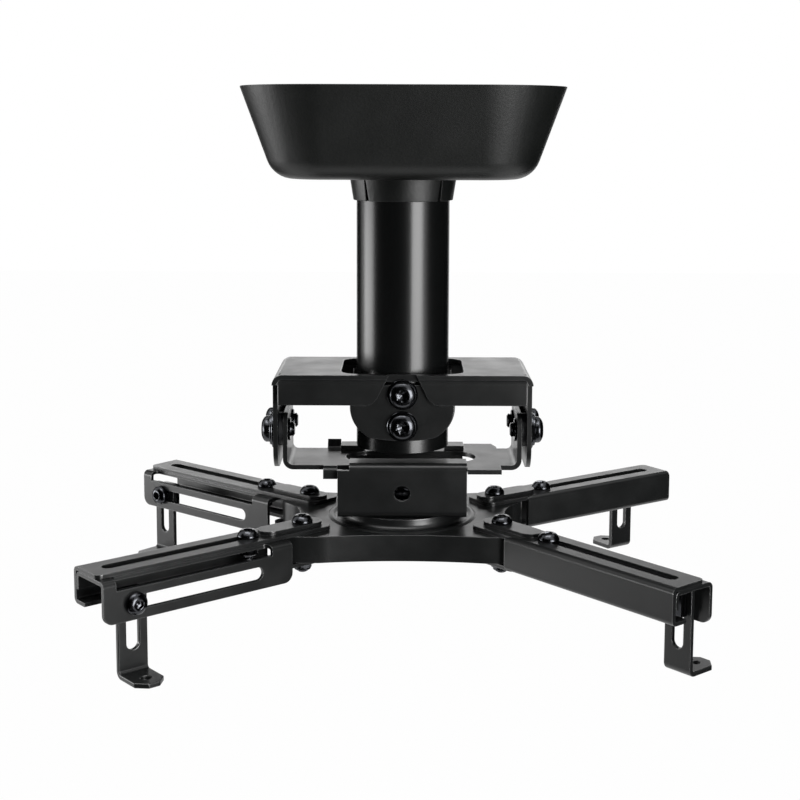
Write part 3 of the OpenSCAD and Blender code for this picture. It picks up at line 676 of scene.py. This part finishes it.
@dataclass
class Hardware:
    """Builds the mount's screws, nuts and washers from turned and milled forms.

    Attributes:
        fine: Points round each ring.
        rig: The node tree that copies a model to its places.
    """

    fine: int = 48
    rig: FastenerRig = field(default_factory=FastenerRig)

    # The recess from its mouth down: share of its size, millimetres below the head's top
    MOUTH = ((1.12, 0.0), (1.05, 0.08), (1.0, 0.3))
    # Size of the recess at its floor, as a share
    FLOOR = 0.96
    # The drill's point in that floor: radius and depth as shares of the shank's diameter
    DRILL = ((0.24, 0.02), (0.12, 0.1), (0.04, 0.13))
    # Thread pitch as a share of the diameter, depth of the groove as a share of the pitch,
    # and rings in one turn
    PITCH, GROOVE, TURN = 0.16, 0.3, 6
    # Rings over which the groove runs in and out, and the crest's clearance in millimetres
    RUN_IN, RUN_OUT, CREST = 4, 3, 0.02
    # The shank's tip as shares of the diameter: its radius, its length and the first ring's cut
    TIP, POINT, START = 0.36, 0.06, 0.07
    # A lock nut's hexagon as a share of its height; its face and its bevel as shares of its width
    HEXAGON, FACE, BEVEL = 0.72, 0.95, 0.09
    # What the bevel's turned part takes off the corners, and how high it is, as shares of the bevel
    TURNED, RISE = 0.45, 0.35
    # Lead-in of a nut's bore in millimetres: how much wider it is, and how deep
    WIDER, DEEP = 0.3, 0.4
    # The crimped collar: radius as a share of half the width, height as a share of what is left
    COLLAR = ((0.9, 0.05), (0.9, 0.6), (0.84, 0.95), (0.76, 1.0), (0.7, 0.8))

    def screw(self, kind: Screws, length: float, threaded: float) -> bpy.types.Object:
        """Make a screw with a turned head, its recess and a threaded end.

        Args:
            kind: Which of the mount's screws it is.
            length: Length under the head.
            threaded: Length of the thread that shows at the tip.

        Returns:
            The screw, head up with its seat at z = 0, as a model to copy.
        """
        form = kind.value
        d, h, depth = form.d, form.h, form.depth
        outline = [(round_by(a * form.r), z * h) for a, z in form.head.value]
        outline += [(lambda t, g=g: form.recess(t) * g, h - down)
                    for g, down in (*self.MOUTH, (self.FLOOR, depth))]
        outline += [(round_by(a * d), h - depth - b * d) for a, b in self.DRILL]
        return self._model(self._shank(d, length, threaded) + stack(outline, self.fine), closed=False)

    def _shank(self, d: float, length: float, threaded: float) -> List[Ring]:
        """Give the rings of a shank with a real helix at its lower end."""
        n = self.fine
        pitch = self.PITCH * d
        cut = self.GROOVE * pitch
        steps = max(2, int(threaded / (pitch / self.TURN)))
        low = -length + self.POINT * d
        thread: List[Ring] = []
        for i in range(steps + 1):
            z = low + threaded * i / steps
            fade = min(1.0, i / self.RUN_IN, (steps - i) / self.RUN_OUT)
            start = self.START * d if i == 0 else 0.0
            ring: Ring = []
            for k in range(n):
                a = math.tau * k / n
                phase = (z / pitch - a / math.tau) % 1.0
                r = d / 2 - self.CREST - cut * fade * abs(2 * phase - 1) - start
                ring.append((r * math.cos(a), r * math.sin(a), z))
            thread.append(ring)
        plain = stack([(round_by(d / 2), low + threaded + 0.2), (round_by(d / 2), 0.0)], n)
        return stack([(round_by(self.TIP * d), -length)], n) + thread + plain

    def nut(self, bore: float, across: float, height: float) -> bpy.types.Object:
        """Make a hexagon lock nut with turned-down corners and a crimped collar.

        Args:
            bore: Diameter of the bore.
            across: Width across flats.
            height: Height with the collar.

        Returns:
            The nut, seated at z = 0 with its bore along Z, as a model to copy.
        """
        top, bevel = self.HEXAGON * height, self.BEVEL * across
        corner = across / math.sqrt(3)
        face, hole, mouth = (round_by(r) for r in (self.FACE * across / 2, bore / 2, bore / 2 + self.WIDER))
        full, turned = hexagon(across, corner), hexagon(across, corner - bevel * self.TURNED)
        outline = [(mouth, 0.0), (face, 0.0), (turned, bevel * self.RISE), (full, bevel),
                   (full, top - bevel), (turned, top - bevel * self.RISE), (face, top)]
        outline += [(round_by(a * across / 2), top + b * (height - top)) for a, b in self.COLLAR]
        outline += [(hole, outline[-1][1] - self.DEEP), (hole, self.DEEP)]
        return self._model(stack(outline, self.fine), closed=True)

    def washer(self, profile: Sequence[Tuple[float, float]]) -> bpy.types.Object:
        """Make a turned ring from its closed outline of radius and height pairs."""
        return self._model(stack([(round_by(r), z) for r, z in profile], self.fine), closed=True)

    def _model(self, rings: Sequence[Ring], closed: bool) -> bpy.types.Object:
        """Make the master object that is copied, in millimetres."""
        return mesh_object("model", *loft(rings, closed), scale=1.0)

    def fit(self, name: str, model: bpy.types.Object, spots: Sequence[Spot], body: str, seed: int,
            replaced: Optional[Sequence[str]] = None, finish: Finishes = Finishes.BLACK_OXIDE) -> None:
        """Copy a model to several places and hand the copies to the frame as one piece.

        Args:
            name: Name of the piece, without the _fine that is put after it.
            model: The model, which is deleted afterwards.
            spots: Place in millimetres and direction of each copy.
            body: The body that carries the copies.
            seed: Seed of their spin about their own axes.
            replaced: CAD nodes that they stand for. Left out, it is the node called name.
            finish: Finish of the copies.
        """
        mesh = bpy.data.meshes.new(f"{name}_fine")
        mesh.from_pydata([Vector(p) * MM for p, _ in spots], [], [])
        turns = mesh.attributes.new("turn", "FLOAT_VECTOR", "POINT")
        turns.data.foreach_set("vector", [c for _, d in spots for c in turn_onto(d)])
        piece = linked(f"{name}_fine", mesh)
        self.rig.run(piece, {"Fastener": model, "Scale": MM, "Spin seed": seed}, finish)
        bpy.data.objects.remove(model)
        settle(piece, body, [name] if replaced is None else replaced)


def ring_profile(outer: float, inner: float, height: float,
                 chamfer: float = 0.25) -> List[Tuple[float, float]]:
    """Give the outline of a flat washer with broken edges."""
    c = chamfer
    return [(inner, c), (inner + c, 0.0), (outer - c, 0.0), (outer, c), (outer, height - c),
            (outer - c, height), (inner + c, height), (inner, height - c)]


@dataclass
class Welder:
    """Lays the mount's weld beads.

    Attributes:
        rig: The node tree that lays ripples along a path.
    """

    rig: WeldRig = field(default_factory=WeldRig)

    def lay(self, name: str, points: Sequence[Point], closed: bool, radius: float, pitch: float,
            seed: int, body: str) -> None:
        """Lay a rippled weld along a path.

        Args:
            name: Name of the piece.
            points: The path in millimetres.
            closed: True joins its ends.
            radius: Radius of the bead.
            pitch: Distance between its ripples.
            seed: Seed of their sizes.
            body: The body that carries it.
        """
        count = len(points)
        edges = [(i, (i + 1) % count) for i in range(count if closed else count - 1)]
        mesh = bpy.data.meshes.new(name)
        mesh.from_pydata([Vector(p) * MM for p in points], edges, [])
        piece = linked(name, mesh)
        self.rig.run(piece, {"Bead radius": radius * MM, "Pitch": pitch * MM, "Seed": seed},
                     Finishes.COATED_WELD)
        settle(piece, body)


# -------------------------------------------------------------- sub-assemblies


@dataclass(frozen=True)
class Levels:
    """Heights, places and sizes that the sub-assemblies share, in millimetres.

    Heights count from the ceiling. bolt_hole is the hole's radius of the 8 mm bolts.
    """

    roll: float = -160.0
    roll_pitch: float = 17.0
    yoke: float = -149.5
    tilt: float = -182.0
    tilt_pitch: float = 24.0
    bracket: float = -226.5
    spider: float = -232.0
    arm: float = -230.0
    yoke_w: float = 137.4
    yoke_d: float = 62.0
    sheet: float = 2.5
    bolt_hole: float = 4.05
    cradle_w: float = 127.6
    lobe_x: float = 52.9
    lobe_y: float = 31.0


@dataclass
class Canopy:
    """The moulded canopy: its shell, and the ribs in its floor. Sizes are in millimetres."""

    height: float = 46.5
    wall: float = 2.0
    ribs: int = 8
    rib_inner: float = 32.0
    rib_outer: float = 56.0
    rib_height: float = 4.5
    rib_wall: float = 1.4
    rib_sunk: float = 0.3

    def build(self) -> None:
        """Make the shell and its ribs."""
        SoftNode("canopy", "cover", "canopy_plastic", Finishes.MOULDED_ABS, width=0.35, segments=2).build()
        base = mesh_object("canopy_ribs", [(0, 0, 0)], [])
        middle = (self.rib_inner + self.rib_outer) / 2
        level = -self.height + self.wall + self.rib_height / 2 - self.rib_sunk
        RibRig().run(base, {
            "Ribs": self.ribs, "Radius": middle * MM, "Level": level * MM,
            "Size": ((self.rib_outer - self.rib_inner) * MM, self.rib_wall * MM, self.rib_height * MM),
        }, Finishes.MOULDED_ABS)
        settle(base, "cover")


@dataclass
class Mast:
    """The fixed part: ceiling plate, socket, pole and the two roll bolts.

    Attributes:
        levels: The shared heights.
        hardware: Makes the fasteners.
        welder: Lays the weld.
        washer: Height of the washers.
        washer_r: Their radius.
        bolt_past: How far the bolts reach past the rear washers.
        weld_r: Radius of the socket's weld.
        weld_z: Its height.
    """

    levels: Levels
    hardware: Hardware
    welder: Welder
    washer: float = 1.2
    washer_r: float = 8.1
    bolt_past: float = 8.0
    weld_r: float = 29.6
    weld_z: float = -5.2

    def build(self) -> None:
        """Make the plate, pole and fasteners."""
        SoftNode("ceiling_plate", "mast").build()
        SoftNode("pole_socket", "mast", width=0.3).build()
        SoftNode("pole", "mast", "pole_coat", Finishes.SATIN_TUBE, width=0.5).build()
        dress(frame["nodes"]["socket_screws"], Finishes.BLACK_OXIDE)
        self._bolts()
        self.welder.lay("socket_weld", ring_of(round_by(self.weld_r), self.weld_z, 64), True,
                        radius=2.0, pitch=1.3, seed=21, body="mast")

    def _bolts(self) -> None:
        """Make the roll bolts with their washers and lock nuts."""
        lv, kit = self.levels, self.hardware
        seat = lv.yoke_d / 2 - lv.sheet + self.washer
        heights = (lv.roll, lv.roll - lv.roll_pitch)
        screw = kit.screw(Screws.ROLL, length=2 * seat + self.bolt_past, threaded=9.0)
        kit.fit("roll_bolts", screw, [((0, -seat, z), (0, -1, 0)) for z in heights], "mast", seed=11)
        ring = kit.washer(ring_profile(self.washer_r, lv.bolt_hole, self.washer))
        spots = [((0, s * (seat - self.washer), z), (0, s, 0)) for z in heights for s in (-1, 1)]
        kit.fit("roll_washers", ring, spots, "mast", seed=12)
        nut = kit.nut(bore=8.1, across=13.0, height=6.5)
        kit.fit("roll_nuts", nut, [((0, seat, z), (0, 1, 0)) for z in heights], "mast", seed=13)


@dataclass
class Head:
    """The folded yoke with its two roll plates.

    Attributes:
        levels: The shared heights.
        welder: Lays the welds.
        flange: Depth of the yoke's flanges, where the plates are welded.
        weld_start: Where each weld starts beside the middle.
        weld_step: Distance between the points of its path.
        weld_points: How many points the path has.
        weld_sunk: How deep its middle lies in the plate and under the flange.
    """

    levels: Levels
    welder: Welder
    flange: float = 16.0
    weld_start: float = 19.5
    weld_step: float = 0.5
    weld_points: int = 13
    weld_sunk: Tuple[float, float] = (0.2, 0.1)

    def build(self) -> None:
        """Make the yoke, its plates and the welds that join them."""
        SoftNode("yoke", "head").build()
        SoftNode("roll_plates", "head").build()
        lv = self.levels
        deep, under = self.weld_sunk
        low = lv.yoke - self.flange - under
        for s, side in ((-1, "front"), (1, "rear")):
            y = s * (lv.yoke_d / 2 - lv.sheet - deep)
            for t, hand in ((-1, "left"), (1, "right")):
                path = [(t * (self.weld_start + self.weld_step * k), y, low)
                        for k in range(self.weld_points)]
                self.welder.lay(f"plate_weld_{side}_{hand}", path, False, radius=1.0, pitch=0.8,
                                seed=31 + 2 * s + t, body="head")


@dataclass
class Saddle:
    """The cradle, the slide-on bracket and their fasteners.

    Attributes:
        levels: The shared heights.
        hardware: Makes the fasteners.
        spacer_h: Height of the spacers and of the stepped washers.
        spacer_r: Radius of the spacers.
        clinched: Radius and height of the tilt nuts.
        tip: How far the tilt bolts reach past the cradle's ears.
        swivel_washer: Outer radius, hole's radius and height of the swivel nut's washer.
    """

    levels: Levels
    hardware: Hardware
    spacer_h: float = 2.4
    spacer_r: float = 9.0
    clinched: Tuple[float, float] = (6.2, 1.1)
    tip: float = 3.4
    swivel_washer: Point = (10.0, 5.05, 1.5)

    # Outline of the tilt bolts' washers: a wide washer with a narrower one pressed on it
    STEPPED = ((4.05, 0.2), (4.3, 0.0), (9.75, 0.0), (10.0, 0.25), (10.0, 0.95), (9.75, 1.2), (8.5, 1.2),
               (8.5, 2.15), (8.25, 2.4), (4.3, 2.4), (4.05, 2.2))

    def build(self) -> None:
        """Make the folded parts and the tilt and swivel fasteners."""
        SoftNode("cradle", "saddle").build()
        SoftNode("bracket", "saddle", width=1.0).build()
        self._tilt()
        self._swivel()

    def _spots(self, x: float, outward: int = 1) -> List[Spot]:
        """Give the four tilt bolts' places at x and -x."""
        lv = self.levels
        return [((s * x, y, lv.tilt), (s * outward, 0, 0))
                for s in (1, -1) for y in (-lv.tilt_pitch / 2, lv.tilt_pitch / 2)]

    def _tilt(self) -> None:
        """Make the tilt bolts, washers, spacers and clinched nuts."""
        lv, kit = self.levels, self.hardware
        ear = lv.cradle_w / 2
        seat = lv.yoke_w / 2 + self.spacer_h
        screw = kit.screw(Screws.TILT, length=seat - ear + lv.sheet + self.tip, threaded=6.0)
        kit.fit("tilt_bolts", screw, self._spots(seat), "saddle", seed=41)
        kit.fit("tilt_washers", kit.washer(self.STEPPED), self._spots(lv.yoke_w / 2), "saddle", seed=42)
        spacer = kit.washer(ring_profile(self.spacer_r, lv.bolt_hole, self.spacer_h))
        kit.fit("tilt_spacers", spacer, self._spots(ear), "saddle", seed=43, finish=Finishes.NYLON)
        nut = kit.washer(ring_profile(self.clinched[0], lv.bolt_hole, self.clinched[1], chamfer=0.35))
        kit.fit("tilt_nuts", nut, self._spots(ear - lv.sheet, -1), "saddle", seed=44)

    def _swivel(self) -> None:
        """Make the swivel bolt in the bracket, and its nut and washer under it."""
        lv, kit = self.levels, self.hardware
        under = lv.bracket - lv.sheet
        screw = kit.screw(Screws.SWIVEL, length=17.0, threaded=7.0)
        kit.fit("swivel_bolt", screw, [((0, 0, lv.bracket + lv.sheet), (0, 0, 1))], "saddle", seed=45)
        nut = kit.nut(bore=10.1, across=17.0, height=8.0)
        nut_z = under - self.swivel_washer[2]
        kit.fit("swivel_nut", nut, [((0, 0, nut_z), (0, 0, -1))], "saddle", seed=46)
        ring = kit.washer(ring_profile(*self.swivel_washer))
        kit.fit("swivel_washer", ring, [((0, 0, under), (0, 0, -1))], "saddle", seed=47, replaced=())


@dataclass
class Hub:
    """The stamped spider and the four arm pivots.

    Attributes:
        levels: The shared heights.
        hardware: Makes the fasteners.
        bead_r: Radius of the ring bead.
        bolt_z: Height of the lobe bolts' seat above the arms' level.
        nut_z: Height of the lobe nuts' seat below it.
        bead_points: Points round the bead.
    """

    levels: Levels
    hardware: Hardware
    bead_r: float = 38.6
    bolt_z: float = 2.0
    nut_z: float = 18.7
    bead_points: int = 96

    # The bead's section: distance from bead_r, height over the spider's top
    BEAD = ((-2.2, -0.4), (-2.2, 0.0), (-1.5, 0.25), (-0.8, 0.6), (0.0, 0.75), (0.8, 0.6), (1.5, 0.25),
            (2.2, 0.0), (2.2, -0.4))

    def build(self) -> None:
        """Make the spider and the fasteners of its lobes."""
        SoftNode("spider", "hub", rim_level=self.levels.spider).build()
        self._bead()
        dress(frame["nodes"]["lobe_sleeves"], Finishes.BLACK_OXIDE)
        lv, kit = self.levels, self.hardware
        lobes = [(sx * lv.lobe_x, sy * lv.lobe_y) for sx in (-1, 1) for sy in (-1, 1)]
        screw = kit.screw(Screws.ARM, length=27.0, threaded=7.0)
        kit.fit("lobe_bolts", screw, [((x, y, lv.arm + self.bolt_z), (0, 0, 1)) for x, y in lobes],
                "hub", seed=51)
        nut = kit.nut(bore=6.1, across=10.0, height=5.0)
        kit.fit("lobe_nuts", nut, [((x, y, lv.arm - self.nut_z), (0, 0, -1)) for x, y in lobes],
                "hub", seed=52)

    def _bead(self) -> None:
        """Press the shallow ring bead into the spider's top, outside the raised disc."""
        outline = [(round_by(self.bead_r + a), self.levels.spider + b) for a, b in self.BEAD]
        bead = mesh_object("spider_bead", *loft(stack(outline, self.bead_points), closed=True))
        shade(bead.data, 60)
        dress(bead, Finishes.POWDER_COAT)
        settle(bead, "hub")


@dataclass
class Arm:
    """One telescoping arm with its foot.

    Attributes:
        key: Short name of the arm's corner.
        side: Sign of the lobe's place along X and Y.
        swing: Direction of the arm from +X in degrees.
        index: Number of the arm, for its seeds.
        levels: The shared heights.
        hardware: Makes the fasteners.
        bolt_x: Place of the extension bolt along the arm.
        foot_x: Place of the foot bolt along the arm.
        rail_b_side: Outer face of the inner rail's side.
        slot_z: Height of the foot's slot from the arm's top.
        plate: Width and depth of the nut plate.
        plate_y: Its face that lies on the foot.
        plate_bore: Radius of its bore, and of the bore's mouth.
        plate_bevel: Width of its broken edges.
        plate_fine: Points round each of its rings.
        seat: Gap under a screw's head.
        nut_z: Height of the extension bolt's nut from the arm's top.
    """

    key: str
    side: Tuple[int, int]
    swing: float
    index: int
    levels: Levels
    hardware: Hardware
    bolt_x: float = 34.5
    foot_x: float = 110.0
    rail_b_side: float = 16.3
    slot_z: float = -14.9
    plate: Tuple[float, float] = (12.0, 4.5)
    plate_y: float = 11.3
    plate_bore: Tuple[float, float] = (3.05, 3.35)
    plate_bevel: float = 0.45
    plate_fine: int = 64
    seat: float = 0.2
    nut_z: float = -4.2

    # Outline of the extension bolt's nut: a sleeve with a flange, radius and height
    SLEEVE_NUT = ((3.05, -0.1), (3.3, -5.0), (4.5, -5.0), (5.0, -4.5), (5.0, 0.0), (3.3, 0.0))

    def build(self) -> None:
        """Make the two rails, the foot and their fasteners."""
        for node, body in (("rail_a", "arm"), ("rail_b", "slider"), ("foot", "leg")):
            SoftNode(f"{node}_{self.key}", f"{body}_{self.key}").build()
        self._extension_bolt()
        self._foot_bolt()
        self._nut_plate()

    def _at(self, x: float, y: float, z: float) -> Point:
        """Turn a place on the arm into a place in the frame."""
        a = math.radians(self.swing)
        lv = self.levels
        return (self.side[0] * lv.lobe_x + x * math.cos(a) - y * math.sin(a),
                self.side[1] * lv.lobe_y + x * math.sin(a) + y * math.cos(a), lv.arm + z)

    def _extension_bolt(self) -> None:
        """Make the bolt that sets the arm's length, and its nut under the inner rail."""
        kit, body = self.hardware, f"slider_{self.key}"
        screw = kit.screw(Screws.ARM, length=12.0, threaded=2.6)
        kit.fit(f"extension_bolt_{self.key}", screw, [(self._at(self.bolt_x, 0, self.seat), (0, 0, 1))],
                body, seed=60 + self.index)
        kit.fit(f"extension_nut_{self.key}", kit.washer(self.SLEEVE_NUT),
                [(self._at(self.bolt_x, 0, self.nut_z), (0, 0, 1))], body, seed=64 + self.index,
                replaced=())

    def _foot_bolt(self) -> None:
        """Make the foot's screw."""
        a = math.radians(self.swing)
        outward = (-math.sin(a), math.cos(a), 0.0)
        spot = self._at(self.foot_x, self.rail_b_side + self.seat, self.slot_z)
        screw = self.hardware.screw(Screws.FOOT, length=11.0, threaded=2.5)
        self.hardware.fit(f"foot_bolt_{self.key}", screw, [(spot, outward)], f"carriage_{self.key}",
                          seed=68 + self.index, replaced=[f"carrier_{self.key}"])

    def _nut_plate(self) -> None:
        """Make the square plate behind the foot's leg, with its edges broken and its bore open."""
        across, depth = self.plate
        low, high = self.plate_y - depth, self.plate_y
        bore, mouth = (round_by(r) for r in self.plate_bore)
        bevel, lead = self.plate_bevel, 0.3
        whole, drawn_in = square(across), square(across, bevel)
        outline = [(drawn_in, low), (whole, low + bevel), (whole, high - bevel), (drawn_in, high),
                   (mouth, high), (bore, high - lead), (bore, low + lead), (mouth, low)]
        points, faces = loft(stack(outline, self.plate_fine), closed=True)
        placed = [self._at(self.foot_x + u, w, self.slot_z + v) for u, v, w in points]
        plate = mesh_object(f"nut_plate_{self.key}", placed, faces)
        shade(plate.data)
        dress(plate, Finishes.BLACK_OXIDE)
        settle(plate, f"carriage_{self.key}")


# ---------------------------------------------------------------------- studio


@dataclass
class Lamp:
    """One soft box: its place, what it faces, its size in metres and the brightness of its face."""

    name: str
    place: Point
    aim: Point
    size: Tuple[float, float]
    radiance: float

    def build(self) -> None:
        """Hang the soft box, with its power set from the brightness of its face."""
        light = bpy.data.lights.new(self.name, "AREA")
        light.shape = "RECTANGLE"
        light.size, light.size_y = self.size
        light.energy = self.radiance * math.pi * self.size[0] * self.size[1]
        lamp = linked(self.name, light)
        lamp.location = self.place
        lamp.rotation_euler = turn_onto(Vector(self.place) - Vector(self.aim))
        lamp.visible_camera = False


@dataclass
class Studio:
    """Camera, floor, soft boxes and the cards that keep reflections dark.

    Places and sizes are in metres, angles in degrees, and names that end in px are in pixels.
    """

    camera_place: Point = (0.0, -0.780, -0.020)
    pitch: float = 7.0
    roll: float = 0.2
    focal_px: float = 1450.0
    frame_px: float = 800.0
    centre_px: Tuple[float, float] = (402.8, 304.5)
    floor_level: float = -1.5
    floor_half: float = 14.0
    floor_glow: float = 0.98
    card_radius: float = 1.7
    card_rise: Tuple[float, float] = (-1.45, 1.4)
    card_step: float = 8.0
    background: float = 0.6

    def build(self) -> None:
        """Set the whole studio up."""
        self._camera()
        self._world()
        self._floor()
        for lamp in (
            Lamp("left_strip", (-1.4, 0.08, -0.28), (0, 0, -0.28), (0.8, 0.38), 6.8),
            Lamp("right_front_box", (0.86, -1.2, -0.15), (0, 0, -0.15), (0.7, 0.9), 9.5),
            Lamp("rear_strip", (0.05, 1.5, 0.06), (0, 0, -0.1), (2.0, 0.26), 1.3),
            Lamp("top_box", (-0.1, -0.4, 1.3), (0, 0, -0.2), (1.3, 0.7), 4.5),
        ):
            lamp.build()
        self._card("front_card", (-84, 24), self.card_rise)
        self._card("right_card", (62, 155), self.card_rise)
        self._card("rear_left_card", (-158, -124), self.card_rise)
        self._card("rear_top_card", (155, 202), (0.3, 1.6))
        low = self.card_rise[0]
        corners = [(-1.1, -1.6, low), (1.1, -1.6, low), (1.1, -0.75, low), (-1.1, -0.75, low)]
        self._black("floor_card", corners, [(0, 1, 2, 3)])

    def _camera(self) -> None:
        """Stand the camera where the photograph was taken from."""
        data = bpy.data.cameras.new("camera")
        data.sensor_width = 36.0
        data.lens = self.focal_px / self.frame_px * data.sensor_width
        half = self.frame_px / 2
        data.shift_x = (half - self.centre_px[0]) / self.frame_px
        data.shift_y = (self.centre_px[1] - half) / self.frame_px
        data.clip_start, data.clip_end = 0.05, 60.0
        camera = linked("camera", data)
        tilt = Matrix.Rotation(math.radians(90 - self.pitch), 4, "X")
        roll = Matrix.Rotation(math.radians(self.roll), 4, "Z")
        camera.matrix_world = Matrix.Translation(self.camera_place) @ tilt @ roll
        bpy.context.scene.camera = camera

    def _seen(self, tree: Tree) -> Socket:
        """Give 1 for rays of the camera, of reflections and of glass."""
        path = add(tree, "ShaderNodeLightPath").outputs
        direct = maths(tree, "MAXIMUM", path["Is Camera Ray"], path["Is Glossy Ray"])
        return maths(tree, "MAXIMUM", direct, path["Is Transmission Ray"])

    def _world(self) -> None:
        """Make a white surround that lights the object only softly."""
        world = bpy.data.worlds.new("surround")
        tree = bare_tree(world)
        seen = self._seen(tree)
        power = add(tree, "ShaderNodeMapRange", {
            "Value": seen, "To Min": self.background, "To Max": 1.0,
        }).outputs["Result"]
        sky = add(tree, "ShaderNodeBackground", {"Color": (1, 1, 1, 1), "Strength": power}).outputs[0]
        add(tree, "ShaderNodeOutputWorld", {"Surface": sky})
        bpy.context.scene.world = world

    def _floor(self) -> None:
        """Lay the pale floor, well below the hanging mount."""
        half, z = self.floor_half, self.floor_level
        corners = [(-half, -half, z), (half, -half, z), (half, half, z), (-half, half, z)]
        floor = mesh_object("floor", corners, [(0, 1, 2, 3)], scale=1.0)
        if floor.data.polygons[0].normal.z < 0:
            floor.data.flip_normals()
        paint = bpy.data.materials.new("pale_floor")
        tree = bare_tree(paint)
        matt = add(tree, "ShaderNodeBsdfDiffuse", {"Color": linear("#e8e8e6")}).outputs[0]
        glow = add(tree, "ShaderNodeEmission", {"Color": (1, 1, 1, 1), "Strength": 1.0}).outputs[0]
        share = maths(tree, "MULTIPLY", self._seen(tree), self.floor_glow)
        both = add(tree, "ShaderNodeMixShader", {0: share, 1: matt, 2: glow}).outputs[0]
        add(tree, "ShaderNodeOutputMaterial", {"Surface": both})
        floor.data.materials.append(paint)

    def _card(self, name: str, sweep: Tuple[float, float], rise: Tuple[float, float]) -> None:
        """Stand a curved black card round the mount.

        Args:
            name: Name of the card.
            sweep: First and last angle from the camera's side, counted to the right, in degrees.
            rise: Height of its lower and upper edge in metres.
        """
        steps = max(1, round((sweep[1] - sweep[0]) / self.card_step))
        points: List[Point] = []
        for k in range(steps + 1):
            a = math.radians(sweep[0] + (sweep[1] - sweep[0]) * k / steps)
            points += [(self.card_radius * math.sin(a), -self.card_radius * math.cos(a), z) for z in rise]
        self._black(name, points, [(2 * k, 2 * k + 2, 2 * k + 3, 2 * k + 1) for k in range(steps)])

    def _black(self, name: str, points: List[Point], faces: List[Face]) -> None:
        """Make a black card that only reflections see."""
        card = mesh_object(name, points, faces, scale=1.0)
        paint = bpy.data.materials.get("black_card")
        if paint is None:
            paint = bpy.data.materials.new("black_card")
            tree = bare_tree(paint)
            matt = add(tree, "ShaderNodeBsdfDiffuse", {"Color": linear("#0c0c0c")}).outputs[0]
            add(tree, "ShaderNodeOutputMaterial", {"Surface": matt})
        card.data.materials.append(paint)
        card.visible_camera = False
        card.visible_diffuse = False
        card.visible_shadow = False
        card.visible_transmission = False


# ------------------------------------------------------------------------ main


# Each arm's short name, the sign of its lobe's place and its direction from +X in degrees
ARMS = (("rf", (1, -1), -50.0), ("rb", (1, 1), 34.5), ("lb", (-1, 1), 140.0), ("lf", (-1, -1), 220.0))


def main() -> None:
    """Build the studio and every sub-assembly."""
    logging.basicConfig(level=logging.INFO, format="%(name)s: %(message)s")
    bpy.context.scene.view_settings.view_transform = "Standard"
    levels = Levels()
    hardware = Hardware()
    welder = Welder()
    Studio().build()
    Canopy().build()
    Mast(levels, hardware, welder).build()
    Head(levels, welder).build()
    Saddle(levels, hardware).build()
    Hub(levels, hardware).build()
    for index, (key, side, swing) in enumerate(ARMS):
        Arm(key, side, swing, index, levels, hardware).build()


if __name__ == "__main__":
    main()
